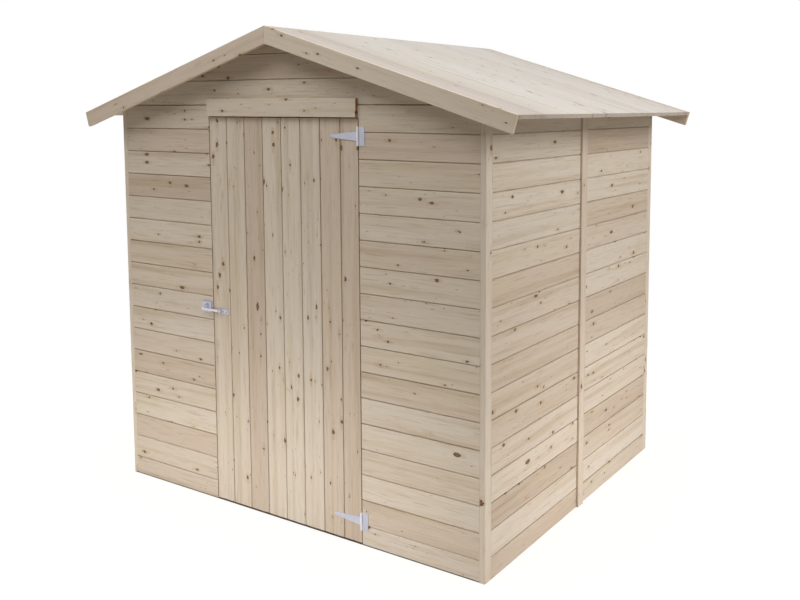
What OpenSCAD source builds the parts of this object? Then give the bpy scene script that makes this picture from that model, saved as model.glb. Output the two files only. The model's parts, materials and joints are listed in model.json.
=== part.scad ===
// Wooden garden shed: boarded walls on light framing, a ledged and braced door on tee hinges
// with a hasp and staple, and a low gable roof of bare boards with bargeboards.
// Millimetres, +Z up. The ground is Z = 0, the door wall faces -Y, and X = Y = 0 is mid-plan.

/* [Walls] */
// Width over the side walls' boards, along X
shed_w = 2101; // [1600:1:3200]
// Depth over the front and rear boards, along Y
shed_d = 1736; // [1200:1:3200]
// Thickness of the wall boards
clad_t = 16; // [12:1:20]
// Height of the front and rear boards above the ground
clad_lift = 6; // [2:1:15]
// Width of a corner post on the front and rear faces
post_w = 26; // [20:1:40]

/* [Framing] */
// Width of a stud, along the wall
stud_w = 45; // [34:1:60]
// Depth of the framing behind the boards
stud_t = 32; // [28:1:45]
// Height of the sole plates
sole_h = 28; // [20:1:40]
// Depth of the top plates and gable rafters
rafter_d = 45; // [34:1:60]
// Space between neighbouring members of one set
member_gap = 1; // [0.5:0.5:3]
// Space left under a sloping face where one piece is seated below another
seat_gap = 0.2; // [0.1:0.1:1]

/* [Cover battens] */
// Width of the battens over the panel joints
batten_w = 56; // [30:1:70]
// Thickness of the battens
batten_t = 10; // [8:1:22]

/* [Roof] */
// Height of the ridge above the ground
ridge_z = 2220; // [2100:1:2500]
// Width of the roof from eave to eave, along X
roof_w = 2455; // [2300:1:3500]
// Slope of the roof, in degrees
pitch = 16.86; // [12:0.01:20]
// Thickness of the roof boards
deck_t = 17; // [14:1:22]
// Distance that the roof stands out past the front and rear boards
verge = 85; // [50:1:150]
// Width of the bargeboards, square to the slope
barge_h = 73; // [60:1:120]
// Thickness of the bargeboards
barge_t = 17; // [14:1:25]
// Width of the ridge beam
ridge_beam_w = 45; // [34:1:70]
// Depth of the ridge beam below the apex of the boards
ridge_beam_d = 110; // [80:1:150]
// Width of a purlin along the slope
purlin_w = 40; // [30:1:60]
// Depth of a purlin, square to the slope
purlin_d = 60; // [40:1:90]
// Distance of the purlins from the ridge, along X
purlin_x = 525; // [400:1:700]

/* [Door] */
// Width of the door leaf
door_w = 871; // [700:1:1000]
// Clearance round the leaf
door_gap = 5; // [5:0.5:8]
// Underside of the leaf above the ground
door_z0 = 10; // [6:1:20]
// Top of the leaf above the ground
door_z1 = 1828; // [1700:1:1840]
// Thickness of the door boards
leaf_t = 16; // [12:1:22]
// Height of each ledge
ledge_h = 90; // [70:1:110]
// Thickness of the ledges and braces
ledge_t = 24; // [16:1:26]
// Distance from the leaf's edge to the end of a ledge
ledge_inset = 30; // [26:1:60]
// Height of the board over the door
header_h = 79; // [50:1:100]
// Thickness of the board over the door
header_t = 16; // [10:1:22]
// Width that the stops stand into the doorway
stop_w = 20; // [10:1:20]
// Underside of the lintel to its top
lintel_h = 45; // [34:1:70]

/* [Hinges] */
// Heights of the hinge centres
hinge_z = [108, 1755];
// Thickness of the hinge plates
plate_t = 2.5; // [2:0.5:3]
// Length of the strap from the pin to its tip
strap_l = 150; // [100:5:300]
// Height of the strap beside the knuckle
strap_h = 40; // [30:1:46]
// Height of the strap at its rounded tip
strap_tip = 14; // [10:1:20]
// Width of the flap from the pin
flap_w = 34; // [25:1:50]
// Height of the flap
flap_h = 80; // [70:1:100]
// Outer radius of the knuckles
knuckle_r = 4.5; // [4:0.5:4.5]
// Radius of the hinge pin
pin_r = 2.5; // [2:0.5:3]

/* [Hasp] */
// Height of the strap's round bar
hasp_z = 923; // [700:1:1200]
// Distance of the hasp's pin from the latch edge of the leaf
hasp_pin_in = 45; // [20:0.5:60]
// Length of the strap from its pin to its tip
hasp_l = 119; // [95:1:130]
// Length of the fixed plate from the pin
hasp_plate_l = 52; // [40:1:60]
// Height of the fixed plate
hasp_plate_h = 24; // [20:1:30]
// Distance of the staple from the hasp's pin
staple_x = 79.5; // [58:0.5:84]
// Distance that the staple stands out from the boards
staple_l = 28; // [24:1:32]
// Thickness of the staple
staple_t = 3; // [2:0.5:4]
// Height of the staple
staple_h = 20; // [16:1:24]
// Radius of the padlock hole
eye_r = 4.5; // [3.5:0.5:5]

/* [Hidden] */
$fn = 48;

half_w = shed_w / 2;
half_d = shed_d / 2;
inner_x = half_w - clad_t;          // inner face of the side boards
inner_y = half_d - clad_t;          // inner face of the front and rear boards
room_x = inner_x - stud_t;          // inner face of the side framing
room_y = inner_y - stud_t;          // inner face of the front and rear framing
post_x = half_w - post_w;           // inner side of the corner posts, where the end boards stop
eave_x = roof_w / 2;
deck_y = half_d + verge - barge_t;  // end of the roof boards, behind the bargeboards
doorway_x = door_w / 2 + door_gap;
doorway_z = door_z1 + door_gap;

// The hinge pin's axis stands just outside the boards, over the middle of the gap.
pin_x = door_w / 2 + door_gap / 2;
pin_y = -half_d - knuckle_r - 0.5;
pin_fit = 0.05;                     // running clearance on the radius
knuckle_gap = 0.5;                  // space between knuckles

hasp_x = -door_w / 2 + hasp_pin_in;
hasp_y = -half_d - 5.5;
hasp_knuckle_r = 4;
hasp_pin_r = 2;
hasp_bar_r = 5;                     // radius of the strap's half-round bar
hasp_lift = 4.5;                    // back of the strap to the boards
staple_z = hasp_z + 19;             // middle of the staple
staple_plate_t = 2;
staple_plate = [50, 50];            // width and height of the staple's plate

wood = "#cfc0ae";
wood_pale = "#d8cfc4";
wood_deep = "#bfae99";
zinc = "#b4b9c4";

// Depth below the roof surface, square to the slope, of what is seated under the roof boards
seat = deck_t + seat_gap;
// The same depth of what is seated under the gable rafters
rafter_seat = seat + rafter_d + seat_gap;

// Height of the roof's upper surface over x
function roof_z(x) = ridge_z - abs(x) * tan(pitch);
// Height of the surface a distance t below it, measured square to the slope
function below_z(x, t) = roof_z(x) - t / cos(pitch);
// Height of the seat under the roof boards
function under_z(x) = below_z(x, seat);
// Height of the gable rafters' underside
function rafter_z(x) = below_z(x, seat + rafter_d);

// A box between two corners
module block(low, high) {
    translate(low) cube(high - low);
}

// An outline in the XZ plane, drawn out from y0 to y1
module across(points, y0, y1) {
    translate([0, y1, 0]) rotate([90, 0, 0]) linear_extrude(y1 - y0) polygon(points);
}

// A piece from x0 to x1 whose top fits under a slope t below the roof surface
module under_slope(x0, x1, y0, y1, z0, t) {
    across([[x0, z0], [x1, z0], [x1, below_z(x1, t)], [x0, below_z(x0, t)]], y0, y1);
}

// The piece as drawn for +X, turned over to -X
module on_left() {
    mirror([1, 0, 0]) children();
}

// The piece as drawn for +Y, turned over to -Y
module on_front() {
    mirror([0, 1, 0]) children();
}

// ---- Walls ----

module front_wall() {
    block([doorway_x, -half_d, clad_lift], [post_x, -inner_y, doorway_z]);
}

module gable() {
    across([[-post_x, doorway_z], [post_x, doorway_z], [post_x, under_z(post_x)],
            [0, under_z(0)], [-post_x, under_z(post_x)]], inner_y, half_d);
}

module side_wall() {
    under_slope(inner_x, half_w, 0, room_y, 0, seat);
}

module rear_wall() {
    block([0, inner_y, clad_lift], [post_x, half_d, doorway_z]);
}

module corner_post() {
    under_slope(post_x, half_w, room_y, half_d, 0, seat);
}

module side_batten() {
    under_slope(half_w, half_w + batten_t, -batten_w / 2, batten_w / 2, 0, seat);
}

module front_wall_left() color(wood) on_left() front_wall();
module front_wall_right() color(wood) front_wall();
module front_gable() color(wood) on_front() gable();
module left_wall_front() color(wood) on_left() on_front() side_wall();
module left_wall_rear() color(wood) on_left() side_wall();
module right_wall_front() color(wood) on_front() side_wall();
module right_wall_rear() color(wood) side_wall();
module rear_wall_left() color(wood) on_left() rear_wall();
module rear_wall_right() color(wood) rear_wall();
module rear_gable() color(wood) gable();
module corner_post_front_left() color(wood_pale) on_left() on_front() corner_post();
module corner_post_front_right() color(wood_pale) on_front() corner_post();
module corner_post_rear_left() color(wood_pale) on_left() corner_post();
module corner_post_rear_right() color(wood_pale) corner_post();
module left_batten() color(wood_deep) on_left() side_batten();
module right_batten() color(wood_deep) side_batten();

module rear_batten() {
    half = batten_w / 2;
    color(wood_deep) across([[-half, 0], [half, 0], [half, under_z(half)], [0, under_z(0)],
                             [-half, under_z(half)]], half_d, half_d + batten_t);
}

// ---- Framing ----

// One stud of the front or rear wall, from the sole plate to the rafter
module end_stud(x0) {
    under_slope(x0, x0 + stud_w, inner_y - stud_t, inner_y, sole_h, rafter_seat);
}

// The studs of one side wall: one at each end, and a pair where the two panels meet
module side_studs() {
    for (y0 = [-room_y, -stud_w - member_gap / 2, member_gap / 2, room_y - stud_w])
        block([room_x, y0, sole_h], [inner_x, y0 + stud_w, rafter_z(room_x)]);
}

module front_studs() {
    color(wood) on_front() for (x0 = [doorway_x, post_x - stud_w]) {
        end_stud(x0);
        on_left() end_stud(x0);
    }
}

module rear_studs() {
    color(wood) for (x0 = [member_gap / 2, post_x - stud_w]) {
        end_stud(x0);
        on_left() end_stud(x0);
    }
}

module left_studs() color(wood) on_left() side_studs();
module right_studs() color(wood) side_studs();

// Sole plates under every wall, and a thinner sill across the doorway
module sole_plates() {
    side_y = room_y - member_gap;
    color(wood_deep) {
        block([room_x, -side_y, 0], [inner_x, side_y, sole_h]);
        on_left() block([room_x, -side_y, 0], [inner_x, side_y, sole_h]);
        block([-post_x, room_y, 0], [post_x, inner_y, sole_h]);
        block([doorway_x + member_gap, -inner_y, 0], [post_x, -room_y, sole_h]);
        on_left() block([doorway_x + member_gap, -inner_y, 0], [post_x, -room_y, sole_h]);
        block([-doorway_x, -inner_y + door_gap, 0], [doorway_x, -room_y, sole_h]);
    }
}

module top_plates() {
    color(wood) {
        under_slope(room_x, inner_x, -room_y, room_y, rafter_z(room_x), seat);
        on_left() under_slope(room_x, inner_x, -room_y, room_y, rafter_z(room_x), seat);
    }
}

module door_lintel() {
    color(wood) block([-doorway_x, -inner_y, doorway_z], [doorway_x, -room_y, doorway_z + lintel_h]);
}

// Stops behind the leaf's edges, down both jambs and under the lintel
module door_stops() {
    front = -half_d + leaf_t + door_gap;
    top = doorway_z - stop_w - door_gap;
    color(wood_pale) {
        block([doorway_x - stop_w, front, sole_h], [doorway_x, -room_y, top - member_gap]);
        on_left() block([doorway_x - stop_w, front, sole_h], [doorway_x, -room_y, top - member_gap]);
        block([-doorway_x, front, top], [doorway_x, -room_y, doorway_z]);
    }
}

// ---- Roof ----

// A pair of rafters behind one gable's boards
module rafter_pair() {
    gap = member_gap / 2;
    outline = [[gap, rafter_z(gap)], [post_x, rafter_z(post_x)],
               [post_x, under_z(post_x)], [gap, under_z(gap)]];
    across(outline, room_y, inner_y);
    on_left() across(outline, room_y, inner_y);
}

module gable_rafters() {
    color(wood) {
        rafter_pair();
        on_front() rafter_pair();
    }
}

module ridge_beam() {
    half = ridge_beam_w / 2;
    z0 = under_z(0) - ridge_beam_d;
    color(wood) across([[-half, z0], [half, z0], [half, under_z(half)], [0, under_z(0)],
                        [-half, under_z(half)]], -room_y, room_y);
}

// A purlin set square to the slope, under the boards
module purlin() {
    along = [cos(pitch), -sin(pitch)] * purlin_w / 2;
    down = [-sin(pitch), -cos(pitch)] * purlin_d;
    seat = [purlin_x, under_z(purlin_x)];
    across([seat - along, seat + along, seat + along + down, seat - along + down], -room_y, room_y);
}

module roof_purlins() {
    color(wood) {
        purlin();
        on_left() purlin();
    }
}

// A sloping board from the ridge to the eave: its top is the roof surface, its end is cut square
module slope_board(depth, y0, y1) {
    across([[0, ridge_z], [eave_x, roof_z(eave_x)],
            [eave_x - depth * sin(pitch), roof_z(eave_x) - depth * cos(pitch)],
            [0, ridge_z - depth / cos(pitch)]], y0, y1);
}

module roof_right() color(wood_pale) slope_board(deck_t, -deck_y, deck_y);
module roof_left() color(wood_pale) on_left() slope_board(deck_t, -deck_y, deck_y);

module bargeboard() {
    slope_board(barge_h, deck_y, deck_y + barge_t);
}

module bargeboard_front_left() color(wood) on_left() on_front() bargeboard();
module bargeboard_front_right() color(wood) on_front() bargeboard();
module bargeboard_rear_left() color(wood) on_left() bargeboard();
module bargeboard_rear_right() color(wood) bargeboard();

// ---- Door ----

module door_header() {
    x = door_w / 2 + 1;
    color(wood) block([-x, -half_d - header_t, doorway_z], [x, -half_d, doorway_z + header_h]);
}

module door_boards() {
    color(wood) block([-door_w / 2, -half_d, door_z0], [door_w / 2, -half_d + leaf_t, door_z1]);
}

leaf_back = -half_d + leaf_t;
ledge_x = door_w / 2 - ledge_inset;
ledge_z = [hinge_z[0], (hinge_z[0] + hinge_z[1]) / 2, hinge_z[1]];

module door_ledges() {
    color(wood) for (z = ledge_z)
        block([-ledge_x, leaf_back, z - ledge_h / 2], [ledge_x, leaf_back + ledge_t, z + ledge_h / 2]);
}

// Two braces that rise from the hinge side to the latch side, between the ledges
module door_braces() {
    foot = 60;      // distance of a brace's heel from the ledge's end
    width = 120;    // width of a brace along a ledge
    color(wood_deep) for (i = [0, 1]) {
        low = ledge_z[i] + ledge_h / 2;
        high = ledge_z[i + 1] - ledge_h / 2;
        across([[ledge_x - foot - width, low], [ledge_x - foot, low],
                [-ledge_x + foot + width, high], [-ledge_x + foot, high]],
               leaf_back, leaf_back + ledge_t);
    }
}

// ---- Tee hinges ----

// A knuckle about the hinge pin, from z0 to z1
module knuckle(z0, z1, r = knuckle_r) {
    translate([pin_x, pin_y, z0]) cylinder(r = r, h = z1 - z0);
}

// The long strap on the door, tapering to a round tip, with the middle knuckle bored for the pin
module hinge_strap(z) {
    tip = strap_tip / 2;
    color(zinc) difference() {
        union() {
            translate([0, -half_d, 0]) rotate([90, 0, 0]) linear_extrude(plate_t) {
                polygon([[pin_x, z - strap_h / 2], [pin_x, z + strap_h / 2],
                         [pin_x - strap_l + tip, z + tip], [pin_x - strap_l + tip, z - tip]]);
                translate([pin_x - strap_l + tip, z]) circle(tip);
            }
            knuckle(z - strap_h / 2, z + strap_h / 2);
        }
        knuckle(z - strap_h, z + strap_h, pin_r + pin_fit);
    }
}

// The flap on the wall, with the two outer knuckles and the pin that they hold
module hinge_flap(z) {
    inner = strap_h / 2 + knuckle_gap;
    outer = flap_h / 2;
    color(zinc) {
        difference() {
            block([pin_x, -half_d - plate_t, z - outer], [pin_x + flap_w, -half_d, z + outer]);
            knuckle(z - inner, z + inner, knuckle_r + knuckle_gap);
        }
        knuckle(z - outer, z - inner);
        knuckle(z + inner, z + outer);
        knuckle(z - outer, z + outer, pin_r);
    }
}

module hinge_strap_bottom() hinge_strap(hinge_z[0]);
module hinge_strap_top() hinge_strap(hinge_z[1]);
module hinge_flap_bottom() hinge_flap(hinge_z[0]);
module hinge_flap_top() hinge_flap(hinge_z[1]);

// ---- Hasp and staple ----

// A knuckle about the hasp's pin, from z0 to z1
module hasp_knuckle(z0, z1, r = hasp_knuckle_r) {
    translate([hasp_x, hasp_y, z0]) cylinder(r = r, h = z1 - z0);
}

// The plate screwed to the door, with the two outer knuckles and the pin
module hasp_plate() {
    half = hasp_plate_h / 2;
    inner = half / 3 + knuckle_gap;
    color(zinc) {
        difference() {
            block([hasp_x, -half_d - plate_t, hasp_z - half],
                  [hasp_x + hasp_plate_l, -half_d, hasp_z + half]);
            hasp_knuckle(hasp_z - inner, hasp_z + inner, hasp_knuckle_r + knuckle_gap);
        }
        hasp_knuckle(hasp_z - half, hasp_z - inner);
        hasp_knuckle(hasp_z + inner, hasp_z + half);
        hasp_knuckle(hasp_z - half, hasp_z + half, hasp_pin_r);
    }
}

// The swinging strap: a middle knuckle, a half-round bar, and a head slotted for the staple
module hasp_strap() {
    knuckle_h = hasp_plate_h / 6;
    tip_x = hasp_x - hasp_l;
    back = -half_d - hasp_lift;
    front = back - plate_t;
    head_x = hasp_x - staple_x + 22;
    head_z0 = hasp_z - 12;
    head_z1 = staple_z + staple_h / 2 + 8;
    neck = 6;                   // half height of the flat under the bar
    slot_side = 2;              // clearance above and below the staple
    color(zinc) difference() {
        union() {
            block([head_x, front, hasp_z - neck], [hasp_x, back, hasp_z + neck]);
            block([tip_x + 8, front, head_z0], [head_x, back, head_z1]);
            block([tip_x, front, head_z0 + 8], [tip_x + 8.1, back, head_z1 - 8]);
            for (z = [head_z0 + 8, head_z1 - 8])
                translate([tip_x + 8, back, z]) rotate([90, 0, 0]) cylinder(r = 8, h = plate_t);
            intersection() {
                translate([tip_x + 2, front, hasp_z]) rotate([0, 90, 0])
                    cylinder(r = hasp_bar_r, h = hasp_l - 14);
                block([tip_x, front - hasp_bar_r, hasp_z - hasp_bar_r],
                      [hasp_x, front + plate_t / 2, hasp_z + hasp_bar_r]);
            }
            hasp_knuckle(hasp_z - knuckle_h, hasp_z + knuckle_h);
        }
        // The slot is wider towards the tip, where the staple passes as the strap swings.
        block([hasp_x - staple_x - 7.5, front - 1, staple_z - staple_h / 2 - slot_side],
              [hasp_x - staple_x + 3, back + 1, staple_z + staple_h / 2 + slot_side]);
        hasp_knuckle(hasp_z - hasp_plate_h, hasp_z - knuckle_h, hasp_knuckle_r + knuckle_gap);
        hasp_knuckle(hasp_z + knuckle_h, hasp_z + hasp_plate_h, hasp_knuckle_r + knuckle_gap);
        hasp_knuckle(hasp_z - hasp_plate_h, hasp_z + hasp_plate_h, hasp_pin_r + pin_fit);
    }
}

// The plate on the wall and the drilled staple that stands out through the strap's slot
module hasp_staple() {
    x = hasp_x - staple_x;
    color(zinc) {
        block([x - staple_plate.x / 2, -half_d - staple_plate_t, staple_z - 6 - staple_plate.y / 2],
              [x + staple_plate.x / 2, -half_d, staple_z - 6 + staple_plate.y / 2]);
        difference() {
            block([x - staple_t / 2, -half_d - staple_l, staple_z - staple_h / 2],
                  [x + staple_t / 2, -half_d, staple_z + staple_h / 2]);
            translate([x - staple_t, -half_d - staple_l + eye_r + 5, staple_z])
                rotate([0, 90, 0]) cylinder(r = eye_r, h = 2 * staple_t);
        }
    }
}

front_wall_left();
front_wall_right();
front_gable();
left_wall_front();
left_wall_rear();
right_wall_front();
right_wall_rear();
rear_wall_left();
rear_wall_right();
rear_gable();
corner_post_front_left();
corner_post_front_right();
corner_post_rear_left();
corner_post_rear_right();
left_batten();
right_batten();
rear_batten();
front_studs();
left_studs();
right_studs();
rear_studs();
sole_plates();
top_plates();
door_lintel();
door_stops();
gable_rafters();
ridge_beam();
roof_purlins();
roof_left();
roof_right();
bargeboard_front_left();
bargeboard_front_right();
bargeboard_rear_left();
bargeboard_rear_right();
door_header();
door_boards();
door_ledges();
door_braces();
hinge_strap_bottom();
hinge_strap_top();
hinge_flap_bottom();
hinge_flap_top();
hasp_plate();
hasp_strap();
hasp_staple();
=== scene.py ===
"""A wooden garden shed: spruce boards on light framing, a ledged and braced door and a boarded
roof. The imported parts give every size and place. The boards, planed timbers, steel fittings and
fixings are built here round them, each piece on the body that carries it."""

import json
import math
import random
from functools import partial

import bmesh
import bpy
from mathutils import Matrix, Vector


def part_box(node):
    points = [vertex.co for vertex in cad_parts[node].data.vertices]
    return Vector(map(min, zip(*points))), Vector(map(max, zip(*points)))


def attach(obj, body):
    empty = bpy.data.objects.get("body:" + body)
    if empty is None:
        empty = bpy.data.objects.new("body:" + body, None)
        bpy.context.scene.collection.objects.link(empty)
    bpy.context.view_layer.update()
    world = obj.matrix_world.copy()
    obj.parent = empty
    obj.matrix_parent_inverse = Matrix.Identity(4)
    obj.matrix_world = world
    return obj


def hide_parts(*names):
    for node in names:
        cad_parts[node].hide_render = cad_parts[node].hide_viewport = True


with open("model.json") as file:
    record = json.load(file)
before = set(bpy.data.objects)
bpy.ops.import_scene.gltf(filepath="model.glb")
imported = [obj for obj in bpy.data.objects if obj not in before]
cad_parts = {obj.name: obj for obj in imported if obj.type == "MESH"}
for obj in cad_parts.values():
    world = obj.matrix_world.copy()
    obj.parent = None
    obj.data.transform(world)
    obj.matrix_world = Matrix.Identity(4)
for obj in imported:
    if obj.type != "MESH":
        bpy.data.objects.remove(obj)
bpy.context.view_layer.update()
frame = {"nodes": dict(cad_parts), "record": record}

bl_info = {
    "name": "Wooden Garden Shed",
    "version": (1, 0, 0),
    "blender": (4, 5, 0),
    "location": "3D View > Sidebar > Shed",
    "description": "Boards, timbers, fittings and stage of a small gabled garden shed",
    "category": "Object",
}

MM = 0.001
TONGUE = (5.6 * MM, 10 * MM)    # how deep a board's tongue starts and ends below its face
TONGUE_FREE = 0.4 * MM          # space above and below a tongue in its groove
TONGUE_OUT = 5 * MM             # how far a tongue stands out past its neighbour's edge
GROOVE_DEEP = 7 * MM            # how far a groove goes in from its edge
PIN_IN = 4.5 * MM               # a hinge's pin, from the low X side of its flap
RAW_END = 0.25                  # how dark the sawn ends of timbers are
SAME_POINT = 0.01 * MM          # points nearer than this are one
NAIL_SHARES = (0.24, 0.76)      # where the nails go across the width of a board
UP = Vector((0, 0, 1))
SIDE = Vector((1, 0, 0))
BACK = Vector((0, 1, 0))

WALLS = ("front_wall_left", "front_wall_right", "left_wall_front", "left_wall_rear",
         "right_wall_front", "right_wall_rear", "rear_wall_left", "rear_wall_right")
UPRIGHTS = ("corner_post_front_left", "corner_post_front_right", "corner_post_rear_left",
            "corner_post_rear_right", "left_batten", "right_batten", "rear_batten")
TRIM = (*UPRIGHTS, "bargeboard_front_left", "bargeboard_front_right", "bargeboard_rear_left",
        "bargeboard_rear_right", "door_header")
FRAMING = ("front_studs", "left_studs", "right_studs", "rear_studs", "sole_plates", "top_plates",
           "door_lintel", "door_stops", "gable_rafters", "ridge_beam", "roof_purlins")
HINGES = ("hinge_strap_bottom", "hinge_strap_top", "hinge_flap_bottom", "hinge_flap_top")
HASP = ("hasp_plate", "hasp_strap", "hasp_staple")
BODY_OF = {name: body for body, names in frame["record"]["behaviour"]["bodies"].items()
           for name in names}


def linear(text):
    """The linear colour of an sRGB hex value such as #c8b8a4."""
    parts = [int(text[i:i + 2], 16) / 255 for i in (1, 3, 5)]
    return (*(p / 12.92 if p <= 0.04045 else ((p + 0.055) / 1.055) ** 2.4 for p in parts), 1.0)


def node(tree, kind, inputs=(), stops=(), **settings):
    """Adds a node with its settings. kind is its type, which may leave out a leading ShaderNode.
    inputs gives each socket a value or a link, in order, or by name or number, and stops are the
    places and colours of a colour ramp. A Map Range takes its value, the range that comes in and
    the range that goes out."""
    made = tree.nodes.new(kind if "Node" in kind else "ShaderNode" + kind)
    for name, value in settings.items():
        setattr(made, name, value)
    for number, (place, colour) in enumerate(stops):
        element = (made.color_ramp.elements[number] if number < 2
                   else made.color_ramp.elements.new(place))
        element.position = place
        element.color = colour
    for key, value in (inputs.items() if isinstance(inputs, dict) else enumerate(inputs)):
        socket = (made.inputs[key] if isinstance(key, int)
                  else next(s for s in made.inputs if s.name == key and s.enabled))
        if isinstance(value, bpy.types.Node):
            value = next(s for s in value.outputs if s.enabled)
        if isinstance(value, bpy.types.NodeSocket):
            tree.links.new(value, socket)
        else:
            socket.default_value = value
    return made


# ---- Settings ----

def length(name, description, default, low, high):
    """A setting for a length, from values in millimetres."""
    return bpy.props.FloatProperty(name=name, description=description, default=default * MM,
                                   min=low * MM, max=high * MM, unit="LENGTH")


def paint(name, description, default):
    """A setting for a colour, from an sRGB hex value."""
    return bpy.props.FloatVectorProperty(name=name, description=description, size=4, min=0, max=1,
                                         default=linear(default), subtype="COLOR")


class ShedBoards(bpy.types.PropertyGroup):
    """Sizes of the tongued and grooved boards"""
    wall_course: length("Wall course", "Height of one course of the wall boards", 112, 60, 200)
    wall_joint: length("Lowest joint", "Height of the lowest joint above the ground", 92, 0, 200)
    wall_arris: length(
        "Wall chamfer", "Chamfer along the edges of the wall and door boards", 1.5, 0, 4)
    wall_gap: length(
        "Wall joint gap", "Gap between the edges of two wall or door boards", 4.1, 0, 5)
    roof_arris: length("Roof chamfer", "Chamfer along the edges of the roof boards", 0.5, 0, 3)
    roof_gap: length("Roof joint gap", "Gap between the edges of two roof boards", 0.3, 0, 3)
    door_board: length("Door board", "Width of one board of the door", 111.4, 60, 160)
    door_first: length(
        "First door board", "Width of the door board beside the hinges", 95.2, 40, 160)
    play: length("Seating", "How far a board may sit behind its neighbours", 0.35, 0, 0.4)
    seed: bpy.props.IntProperty(
        name="Seed", description="Chooses which stretch of wood each board is cut from", default=7)


class ShedTimber(bpy.types.PropertyGroup):
    """Colours and edges of the planed spruce"""
    wall_colour: paint(
        "Wall boards", "Colour of the sound wood of the wall and door boards", "#d9cfc3")
    roof_colour: paint("Roof boards", "Colour of the sound wood of the roof boards", "#cac7c4")
    trim_colour: paint(
        "Trim", "Colour of the sound wood of posts, battens and bargeboards", "#d9cdbf")
    framing_colour: paint("Framing", "Colour of the sound wood of the framing", "#d8c6a9")
    knot_colour: paint("Knot", "Colour at the middle of a knot", "#8c6539")
    rim_colour: paint("Knot rim", "Colour of the bark ring round a knot", "#59402a")
    arris: length("Eased edge", "Rounding along the edges of the planed timbers", 1.5, 0.2, 4)


class ShedSteel(bpy.types.PropertyGroup):
    """Sizes and colours of the hinges, hasp and fixings"""
    zinc_colour: paint("Zinc", "Colour of the zinc plating", "#d0d1de")
    edge: length("Edge", "Rounding along the edges of the pressed steel", 0.4, 0.1, 1)
    plate: length("Plate", "Thickness of the hinge and hasp plates", 2.5, 1, 4)
    screw: length("Screw head", "Radius of a screw's head", 3.8, 2, 6)
    nail: length("Nail head", "Radius of a nail's head", 1.5, 1, 5)


class ShedStudio(bpy.types.PropertyGroup):
    """The pale floor and the soft light"""
    floor_colour: paint("Floor", "Colour of the floor", "#9f9687")
    fill_colour: paint("Fill", "Colour of the light from all round", "#ffe6c4")
    sky: bpy.props.FloatProperty(
        name="Sky", description="Strength of the light from all round", default=0.03, min=0, max=2)


# ---- The frame ----

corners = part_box    # the lowest and highest corner of a part


def right_slope():
    """The ridge and the right-hand eave, as points on top of the roof over its mid-depth."""
    edge = max((v.co for v in frame["nodes"]["roof_right"].data.vertices), key=lambda p: p.x)
    return Vector((0, 0, corners("roof_right")[1].z)), Vector((edge.x, 0, edge.z))


def loose_parts(bm):
    """The vertices of each separate solid in a mesh."""
    left = set(bm.verts)
    while left:
        part, todo = set(), [min(left, key=lambda v: v.index)]
        while todo:
            vertex = todo.pop()
            if vertex in part:
                continue
            part.add(vertex)
            todo += [e.other_vert(vertex) for e in vertex.link_edges]
        left -= part
        yield sorted(part, key=lambda v: v.index)


def solids(name):
    """The lowest and highest corner of each separate solid of a part, from left to right."""
    bm = merged(name)
    found = []
    for part in loose_parts(bm):
        places = tuple(zip(*(v.co for v in part)))
        found.append(tuple(Vector(pick(along) for along in places) for pick in (min, max)))
    bm.free()
    return sorted(found, key=lambda box: tuple(box[0]))


def merged(name):
    """A part's mesh with its doubled vertices joined and its flat faces made whole."""
    bm = bmesh.new()
    bm.from_mesh(frame["nodes"][name].data)
    bmesh.ops.remove_doubles(bm, verts=bm.verts, dist=SAME_POINT)
    bmesh.ops.dissolve_limit(bm, angle_limit=math.radians(1), verts=bm.verts, edges=bm.edges)
    bm.verts.index_update()
    return bm


# ---- Materials ----

TIMES = {"operation": "MULTIPLY"}
SMOOTH = {"interpolation_type": "SMOOTHSTEP"}


def new_material(name):
    """An empty material, and what adds nodes to it."""
    material = bpy.data.materials.new(name)
    material.use_nodes = True
    material.node_tree.nodes.clear()
    return material, partial(node, material.node_tree)


# What each lot of spruce is called, the setting for its colour, and its spread, figure, knots
# and reach.
SPRUCE = {
    "wall": ("Planed spruce, wall boards", "wall_colour", 1.0, 1.0, 0.75, 0.2),
    "door": ("Planed spruce, door boards", "wall_colour", 1.0, 0.9, 1.0, 0.13),
    "roof": ("Planed spruce, roof boards", "roof_colour", 0.8, 0.7, 0.7, 0.24),
    "trim": ("Planed spruce, trim", "trim_colour", 0.7, 0.6, 1.0, 0.3),
    "framing": ("Sawn spruce, framing", "framing_colour", 0.8, 1.0, 0.75, 0.2)}


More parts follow.
